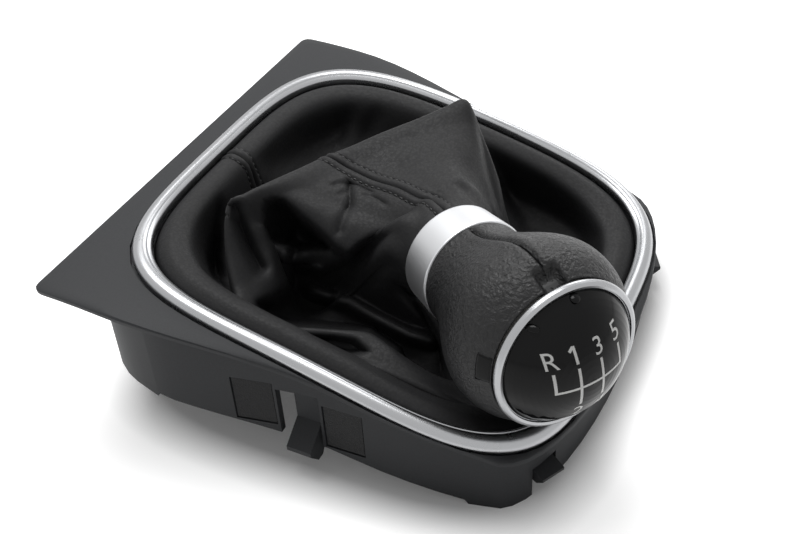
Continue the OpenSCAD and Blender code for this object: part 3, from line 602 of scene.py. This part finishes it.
# %% [markdown]
# Gaiter leather is thin split hide with a pebble embossed into a satin black coat. The pebbles are 0.6 to
# 1 mm wide. A Voronoi pattern gives their outlines, and a little noise bends its straight cell walls. The
# coat is thinner on the crowns, so they shine a little more than the valleys between them.

# %% Gaiter leather: embossed black hide
gaiter_hide, shader, place = new_material("leather_gaiter_black")
bend = add(gaiter_hide, "ShaderNodeTexNoise",
           inputs={"Vector": place, "Scale": per_metre(2.0), "Detail": 2.0})
mixed = add(gaiter_hide, "ShaderNodeMixRGB", {"blend_type": "LINEAR_LIGHT"},
            {"Fac": 0.0008, "Color1": place, "Color2": bend.outputs["Color"]})
pebble = add(gaiter_hide, "ShaderNodeTexVoronoi", {"feature": "SMOOTH_F1"},
             {"Vector": mixed.outputs["Color"], "Scale": per_metre(0.9), "Smoothness": 0.4})
handled = add(gaiter_hide, "ShaderNodeTexNoise",
              inputs={"Vector": place, "Scale": per_metre(14), "Detail": 3.0})
tone = add(gaiter_hide, "ShaderNodeMixRGB",
           inputs={"Fac": handled.outputs["Fac"], "Color1": hex_colour("#161617"),
                   "Color2": hex_colour("#1e1e1f")})
rough = add(gaiter_hide, "ShaderNodeMapRange", inputs={"Value": pebble.outputs["Distance"], "From Max": 0.7,
                                                       "To Min": 0.5, "To Max": 0.66})
relief = add(gaiter_hide, "ShaderNodeBump", {"invert": True},
             {"Strength": 0.3, "Distance": 0.12 * MM, "Height": pebble.outputs["Distance"]})
wire(gaiter_hide, tone.outputs["Color"], shader, "Base Color")
wire(gaiter_hide, rough.outputs["Result"], shader, "Roughness")
wire(gaiter_hide, relief.outputs["Normal"], shader, "Normal")
shader.inputs["IOR"].default_value = 1.45
shader.inputs["Specular IOR Level"].default_value = 0.28

# %% [markdown]
# The gaiter's clamped edge lies under the ring and its neck inside the collar, level with the clamp, so
# height on the folded piece tells nothing of how far along the leather a point lies. The finished piece is
# therefore laid out for a moment as a sewing pattern, where height is the way along the leather, and put
# back into its folds point by point.

# %% Lay the leather out along its way and back
def blend_along(piece, way):
    mesh = piece.data
    folded = np.empty(len(mesh.vertices) * 3, np.float32)
    mesh.vertices.foreach_get("co", folded)
    pattern = np.zeros((len(mesh.vertices), 3), np.float32)
    pattern[:, 2] = way
    mesh.vertices.foreach_set("co", pattern.ravel())
    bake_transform(piece)
    mesh.vertices.foreach_set("co", folded)
    mesh.update()

# %% Sew the two halves
half_of = {}
back_line = [f[0] for f in folds].index(270)
halves = {"left": (0, back_line, 250), "right": (back_line, len(folds) - 1, 210)}
for side, (first, last, count) in halves.items():
    lines = np.interp(np.linspace(0, 1, count), (0, 0.1, 0.9, 1),
                      (first + 0.02, first + 0.7, last - 0.7, last - 0.02))
    smooth = soften(along(guides(lines)), 3)
    middle = soften(press(smooth), 1)
    normal = surface_normals(middle)
    skin = middle + normal * seam_relief(from_seam(middle))[:, :, None]
    step = np.linalg.norm(np.diff(smooth, axis=1), axis=2)
    way = np.concatenate([np.zeros((count, 1)), np.cumsum(step, axis=1)], 1)
    way /= way[:, -1:]
    piece = strip_mesh("gaiter_" + side + "_leather", skin, gaiter_hide)
    thick = piece.modifiers.new("leather thickness", "SOLIDIFY")
    thick.thickness, thick.offset = leather_mm * MM, 0
    blend_along(piece, way.ravel())
    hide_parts("gaiter_" + side)
    half_of[side] = (middle, normal, way)

# %% [markdown]
# Both seams are stitched down with black bonded polyester, 2.3 mm to the stitch. Each stitch is a small
# sausage of thread on the leather, 2.7 mm beside the seam, and takes its place along the leather from the
# line it lies on, so the rows bend with the folds.

# %% Stitches beside the seams
thread_black, shader, place = new_material("thread_polyester_black")
twist = add(thread_black, "ShaderNodeTexNoise",
            inputs={"Vector": place, "Scale": per_metre(0.5), "Detail": 2.0})
relief = add(thread_black, "ShaderNodeBump",
             inputs={"Strength": 0.5, "Distance": 0.08 * MM, "Height": twist.outputs["Fac"]})
shader.inputs["Base Color"].default_value = hex_colour("#111112")
shader.inputs["Roughness"].default_value = 0.5
wire(thread_black, relief.outputs["Normal"], shader, "Normal")

def row_beside(side, at_end, offset):
    """Points, up directions and ways of the line that runs beside one seam of a half."""
    middle, normal, way = [g[::-1] if at_end else g for g in half_of[side]]
    reach = np.concatenate([np.zeros((1, middle.shape[1])),
                            np.cumsum(np.linalg.norm(np.diff(middle[:60], axis=0), axis=2), axis=0)])
    k = np.argmax(reach > offset, axis=0)
    j = np.arange(middle.shape[1])
    t = ((offset - reach[k - 1, j]) / (reach[k, j] - reach[k - 1, j]))[:, None]
    up = normal[k, j]
    return middle[k - 1, j] * (1 - t) + middle[k, j] * t + up * (0.5 * leather_mm - 0.12), up, way[k, j]

for side in half_of:
    verts, quads, ways = [], [], []
    for at_end in (False, True):
        points, ups, along_way = row_beside(side, at_end, thread_row)
        reach = np.concatenate([[0], np.cumsum(np.linalg.norm(np.diff(points, axis=0), axis=1))])
        first, last = reach[10], reach[-8]
        for start in np.arange(first, last, stitch_pitch):
            knots = start + np.array([0, 0.15, 0.5, 1.2, 1.55, 1.7])
            at = np.stack([np.interp(knots, reach, points[:, c]) for c in range(3)], -1)
            up = np.stack([np.interp(knots, reach, ups[:, c]) for c in range(3)], -1)
            ahead = np.gradient(at, axis=0)
            across = np.cross(ahead, up)
            across /= np.linalg.norm(across, axis=1)[:, None]
            up = np.cross(across, ahead)
            up /= np.linalg.norm(up, axis=1)[:, None]
            half = np.array([0.08, 0.2, 0.26, 0.26, 0.2, 0.08])[:, None]
            dip = np.array([0.3, 0.1, 0, 0, 0.1, 0.3])[:, None]
            base = len(verts)
            for turn in np.radians(np.arange(0, 360, 60)):
                verts += list(at - up * dip + (across * math.cos(turn) + up * math.sin(turn)) * half)
            ways += list(np.tile(np.interp(knots, reach, along_way), 6))
            quads += [(base + c * 6 + r, base + (c + 1) % 6 * 6 + r,
                       base + (c + 1) % 6 * 6 + r + 1, base + c * 6 + r + 1)
                      for c in range(6) for r in range(5)]
            quads += [tuple(base + c * 6 for c in range(6)), tuple(base + c * 6 + 5 for c in range(5, -1, -1))]
    mesh = bpy.data.meshes.new("stitches_" + side)
    mesh.from_pydata(place_mm(verts).tolist(), [], quads)
    mesh.materials.append(thread_black)
    mesh.polygons.foreach_set("use_smooth", [True] * len(mesh.polygons))
    rows = put("stitches_" + side, mesh)
    blend_along(rows, np.array(ways))
    print(side, "stitches:", len(verts) // 36)

# %% [markdown]
# The knob's leather is drawn over foam and closed by one seam along its front and one along its back. It is
# smooth on the flanks and puckers beside the seam, where the curve of the knob leaves too much leather. The
# coat is glossier than on the gaiter, from years of hands, and a second noise adds shallow wrinkles.

# %% Knob leather: drawn black hide
knob_hide, shader, place = new_material("leather_knob_black")
bend = add(knob_hide, "ShaderNodeTexNoise", inputs={"Vector": place, "Scale": per_metre(2.5), "Detail": 3.0})
mixed = add(knob_hide, "ShaderNodeMixRGB", {"blend_type": "LINEAR_LIGHT"},
            {"Fac": 0.0012, "Color1": place, "Color2": bend.outputs["Color"]})
pebble = add(knob_hide, "ShaderNodeTexVoronoi", {"feature": "SMOOTH_F1"},
             {"Vector": mixed.outputs["Color"], "Scale": per_metre(1.0), "Smoothness": 0.35})
tone = add(knob_hide, "ShaderNodeMixRGB", inputs={"Fac": bend.outputs["Fac"], "Color1": hex_colour("#101011"),
                                                  "Color2": hex_colour("#171718")})
rough = add(knob_hide, "ShaderNodeMapRange", inputs={"Value": pebble.outputs["Distance"], "From Max": 0.7,
                                                     "To Min": 0.34, "To Max": 0.52})
relief = add(knob_hide, "ShaderNodeBump", {"invert": True},
             {"Strength": 0.7, "Distance": 0.2 * MM, "Height": pebble.outputs["Distance"]})
wrinkle = add(knob_hide, "ShaderNodeTexNoise",
              inputs={"Vector": place, "Scale": per_metre(2.0), "Detail": 4.0, "Distortion": 1.2})
relief = add(knob_hide, "ShaderNodeBump",
             inputs={"Strength": 0.75, "Distance": 0.8 * MM, "Height": wrinkle.outputs["Fac"],
                     "Normal": relief.outputs["Normal"]})
wire(knob_hide, tone.outputs["Color"], shader, "Base Color")
wire(knob_hide, rough.outputs["Result"], shader, "Roughness")
wire(knob_hide, relief.outputs["Normal"], shader, "Normal")
shader.inputs["IOR"].default_value = 1.45
shader.inputs["Specular IOR Level"].default_value = 0.42

# %% Draw the two covers over the foam
grip_from, seat_at = collar_from + 12.8 + 0.3, 79.6
waist_r, knob_r, mouth_r, cover_mm = 17.0, 26.7, 22.2, 1.3

def grip_r(z):
    t = np.clip((z - grip_from) / (seat_at - grip_from), 0, 1)
    s = np.clip(t / 0.7, 0, 1)
    rise = waist_r + (knob_r - waist_r) * (s * s * (3 - 2 * s)) ** 1.15
    fall = knob_r - (knob_r - mouth_r) * (np.clip(t - 0.7, 0, 1) / 0.3) ** 2.2
    return np.where(t < 0.7, rise, fall)

def cover_relief(a, z, r):
    u = np.abs(((a - 90 + 180) % 360) - 180) * np.pi / 180 * r
    back = np.abs(((a + 90 + 180) % 360) - 180) * np.pi / 180 * r
    crown = 1 / (1 + np.exp((z - 74.6) / -0.3))
    groove = -1.0 * np.exp(-(u / 0.7) ** 2) - 0.8 * np.exp(-(back / 0.6) ** 2)
    shoulder = 0.3 * np.exp(-((u - 2.2) / 1.6) ** 2) * (1 - crown)
    notch = -3.2 * crown * np.exp(-(u / 3.6) ** 10)
    near = np.exp(-((u - 4) / 6) ** 2) * np.exp(-((z - 71) / 7) ** 2)
    pucker = 0.1 * near * np.sin(a * 1.1 + z * 2.9 + 1.5 * np.sin(a * 0.31)) * np.sin(a * 0.47 - z * 1.3)
    return np.maximum(groove + shoulder, -1.2) * (1 - crown) + notch + pucker

def knob_skin(bearings, heights, inset):
    a, z = np.meshgrid(bearings, heights, indexing="ij")
    r = grip_r(z)
    r = r + cover_relief(a, z, r) * np.clip((z - grip_from) / 1.5, 0, 1) ** 0.5 - inset
    return around_neck(a, r, z)

for side, (first, last) in {"left": (90.0, 270.0), "right": (-90.0, 90.0)}.items():
    outer = knob_skin(np.linspace(first, last, 200), np.linspace(grip_from, seat_at, 130), 0)
    piece = strip_mesh("knob_leather_" + side, outer, knob_hide)
    thick = piece.modifiers.new("leather thickness", "SOLIDIFY")
    thick.thickness, thick.offset = cover_mm * MM, -1
    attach(piece, "knob")
    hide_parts("knob_cover_" + side)

under_cover = knob_skin(np.linspace(-90, 270, 300), np.linspace(grip_from, seat_at, 100), cover_mm + 0.1)
padding = strip_mesh("knob_foam", under_cover, foam)
thick = padding.modifiers.new("foam thickness", "SOLIDIFY")
thick.thickness, thick.offset = 1.6 * MM, -1
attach(padding, "knob")
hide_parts("knob_padding")
print("knob covers drawn over the foam")

# %% [markdown]
# The cap is a slice of a sphere. What is printed on it, or set under its edge, is drawn flat in x and y and
# then laid on the dome.

# %% The dome of the cap
cap_r, cap_rise, cap_base = 20.3, 11.5, seat_at + 2 + 0.3
dome_r = (cap_r ** 2 + cap_rise ** 2) / (2 * cap_rise)

def on_dome(x, y, up):
    x, y = np.asarray(x, float), np.asarray(y, float)
    r = dome_r + up
    z = cap_base + cap_rise - dome_r + np.sqrt(r * r - x * x - y * y)
    return lean(np.stack([x, y, z], -1))

print("dome radius", round(dome_r, 1), "mm")

# %% [markdown]
# Two small things sit at the cap's edge: a dark square sheet on the leather beside the ring, which is
# painted shade for a dark gap there, and two polished lugs under the ring's inner edge, by which the cap snaps
# in.

# %% Painted shade sheet beside the ring, and snap lugs
# A thin sheet of black acrylic laid on the leather: painted shade for the dark gap beside the cap ring.
grid_a, grid_z = np.meshgrid(np.linspace(157, 176, 12), np.linspace(75.8, 79.4, 8), indexing="ij")
shade_sheet = strip_mesh("ring_shade_sheet", around_neck(grid_a, grip_r(grid_z) + 0.15, grid_z), acrylic)
shade_sheet.modifiers.new("tab thickness", "SOLIDIFY").thickness = 0.5 * MM
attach(shade_sheet, "knob")

lug_at = 19.4
for number, bearing in enumerate((82.0, 123.0)):
    work = bmesh.new()
    bmesh.ops.create_uvsphere(work, u_segments=20, v_segments=12, radius=1)
    for v in work.verts:
        x, y = lug_at * math.cos(math.radians(bearing)), lug_at * math.sin(math.radians(bearing))
        spot = on_dome(x + 1.5 * v.co.x, y + 0.8 * v.co.y, 0.0)
        v.co = place_mm(spot + knob_axes[:, 2] * 1.3 * v.co.z)
    mesh = bpy.data.meshes.new("snap_lug_%d" % number)
    work.to_mesh(mesh)
    work.free()
    mesh.materials.append(acrylic)
    mesh.polygons.foreach_set("use_smooth", [True] * len(mesh.polygons))
    lug = put("snap_lug_%d" % number, mesh)
    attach(lug, "knob")
print("tab and two lugs at the cap's edge")

# %% [markdown]
# The shift pattern is pad printed in white on the dome: a thin film of ink that follows the curve. It could
# be painted with a texture. Here it is cut as thin mesh, so it stays sharp from any distance: strokes for the
# gate and the 1, and Blender's own letters for R and the other gears, each laid on the dome.

# %% Printed gate and numbers
ink, shader, place = new_material("pad_print_white")
mottle = add(ink, "ShaderNodeTexNoise", inputs={"Vector": place, "Scale": per_metre(0.8), "Detail": 2.0})
tone = add(ink, "ShaderNodeMixRGB", inputs={"Fac": mottle.outputs["Fac"], "Color1": hex_colour("#e4e4e2"),
                                            "Color2": hex_colour("#f2f2f0")})
wire(ink, tone.outputs["Color"], shader, "Base Color")
shader.inputs["Roughness"].default_value = 0.35

def stroke(points, width):
    p = np.array(points, float)
    d = np.gradient(p, axis=0)
    d /= np.linalg.norm(d, axis=1)[:, None]
    side = np.column_stack([-d[:, 1], d[:, 0]]) * width / 2
    return p + side, p - side

def line(x0, y0, x1, y1, count=14):
    t = np.linspace(0, 1, count)[:, None]
    return np.array([[x0, y0]]) * (1 - t) + np.array([[x1, y1]]) * t

columns = {"R": -10.1, "1": -3.6, "3": 3.2, "5": 9.9}
bar_y, leg_y, low_y, pen = -1.0, 5.2, -7.6, 0.76
gate = [line(columns["1"] - 1.35, 10.0, columns["1"] - 0.1, 11.05, 4),
        line(columns["1"], 6.4, columns["1"], 11.2, 8),
        line(columns["R"] - pen / 2, bar_y, columns["5"] + pen / 2, bar_y, 40),
        line(columns["R"], bar_y, columns["R"], leg_y), line(columns["5"], bar_y, columns["5"], leg_y),
        line(columns["1"], low_y, columns["1"], leg_y, 24), line(columns["3"], low_y, columns["3"], leg_y, 24)]
verts, quads = [], []
for k, path in enumerate(gate):
    one, two = stroke(path, pen)
    base = len(verts)
    for q, w in zip(one, two):
        verts += [q, w]
    quads += [(base + 2 * i, base + 2 * i + 1, base + 2 * i + 3, base + 2 * i + 2)
              for i in range(len(path) - 1)]
flat = np.array(verts)
gate_mesh = bpy.data.meshes.new("shift_gate")
gate_mesh.from_pydata(place_mm(on_dome(flat[:, 0], flat[:, 1], 0.05)).tolist(), [], quads)
gate_mesh.materials.append(ink)
gate_print = put("shift_gate", gate_mesh)
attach(gate_print, "knob")

def numeral(text, x, y, height):
    curve = bpy.data.curves.new("figure_" + text, "FONT")
    curve.body, curve.size, curve.align_x = text, height / 0.7, "CENTER"
    sign = bpy.data.objects.new("figure_" + text, curve)
    mesh = bpy.data.meshes.new_from_object(sign)
    bpy.data.objects.remove(sign)
    work = bmesh.new()
    work.from_mesh(mesh)
    bmesh.ops.triangulate(work, faces=work.faces)
    long_edges = [e for e in work.edges if e.calc_length() > 0.8]
    bmesh.ops.subdivide_edges(work, edges=long_edges, cuts=2)
    work.to_mesh(mesh)
    work.free()
    p = np.array([v.co for v in mesh.vertices])
    laid = place_mm(on_dome(p[:, 0] + x, p[:, 1] + y, 0.05))
    mesh.vertices.foreach_set("co", laid.astype(np.float32).ravel())
    mesh.materials.append(ink)
    piece = put("figure_" + text, mesh)
    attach(piece, "knob")

for text in "R35":
    numeral(text, columns[text], 6.4, 4.6)
numeral("2", columns["1"], -13.3, 4.6)
numeral("4", columns["3"], -13.3, 4.6)
print("printed the gate and six figures")

# %% [markdown]
# The table is a plain pale sheet. It stays near white wherever light falls, and keeps the soft shadow under
# the surround. What the camera sees, straight or mirrored, is lifted to white with Light Path. The lift fades
# out over a rounded ring about the surround's footprint, so the floor there glows less: its shadow is partly
# real and partly painted shade. The diffuse light on the black parts stays as it was.

# %% Floor, world and lamps
def seen_or_mirrored(material):
    rays = add(material, "ShaderNodeLightPath").outputs
    either = add(material, "ShaderNodeMath",
                 {"operation": "MAXIMUM"}, {0: rays["Is Camera Ray"], 1: rays["Is Glossy Ray"]})
    return add(material, "ShaderNodeMath", {"operation": "MAXIMUM"},
               {0: either.outputs[0], 1: rays["Is Transmission Ray"]}).outputs[0]

floor_mesh = bpy.data.meshes.new("floor")
floor_mesh.from_pydata([(-3, -3, 0), (3, -3, 0), (3, 3, 0), (-3, 3, 0)], [], [(0, 1, 2, 3)])
floor = put("floor", floor_mesh)
paper, shader, place = new_material("studio_paper")
shader.inputs["Base Color"].default_value = hex_colour("#f4f4f4")
shader.inputs["Roughness"].default_value = 0.9
lift = add(paper, "ShaderNodeEmission", inputs={"Color": (1, 1, 1, 1)})
spot = add(paper, "ShaderNodeMapping",
           inputs={"Vector": place, "Location": (0, -0.063, 0), "Scale": (1 / 0.076, 1 / 0.079, 0)})
square = add(paper, "ShaderNodeVectorMath",
             {"operation": "MULTIPLY"}, {0: spot.outputs["Vector"], 1: spot.outputs["Vector"]})
total = add(paper, "ShaderNodeVectorMath",
            {"operation": "DOT_PRODUCT"}, {0: square.outputs["Vector"], 1: square.outputs["Vector"]})
away = add(paper, "ShaderNodeMath", {"operation": "POWER"}, {0: total.outputs["Value"], 1: 0.25})
# Weak lift over the surround's footprint and strong lift away from it: painted shade round the object, over its
# real shadow.
painted_shade_lift = add(paper, "ShaderNodeMapRange",
            inputs={"Value": away.outputs["Value"], "From Min": 0.93, "From Max": 1.12, "To Min": 0.08,
                    "To Max": 0.6})
power = add(paper, "ShaderNodeMath",
            {"operation": "MULTIPLY"}, {0: seen_or_mirrored(paper), 1: painted_shade_lift.outputs["Result"]})
wire(paper, power.outputs[0], lift, "Strength")
both = add(paper, "ShaderNodeAddShader", inputs={0: shader.outputs["BSDF"], 1: lift.outputs["Emission"]})
wire(paper, both.outputs["Shader"], paper.node_tree.nodes["Material Output"], "Surface")
floor_mesh.materials.append(paper)

world = bpy.data.worlds.new("studio")
world.use_nodes = True
bpy.context.scene.world = world
sky = world.node_tree.nodes["Background"]
level = add(world, "ShaderNodeMapRange",
            inputs={"Value": seen_or_mirrored(world), "To Min": 0.17, "To Max": 1.0})
wire(world, level.outputs["Result"], sky, "Strength")
sky.inputs["Color"].default_value = (1, 1, 1, 1)

def soft_lamp(name, place, aim, size, watts):
    data = bpy.data.lights.new(name, "AREA")
    data.shape, data.size, data.energy = "SQUARE", size, watts
    lamp = put(name, data)
    lamp.location = place
    lamp.rotation_euler = (Vector(aim) - Vector(place)).to_track_quat("-Z", "Y").to_euler()

soft_lamp("top_softbox", (0.2, 0.25, 0.9), (0, 0, 0.03), 0.6, 7.3)
soft_lamp("side_softbox", (0.7, 0.0, 0.4), (0, 0, 0.04), 0.4, 1.6)

# %% Finish
print("scene built")
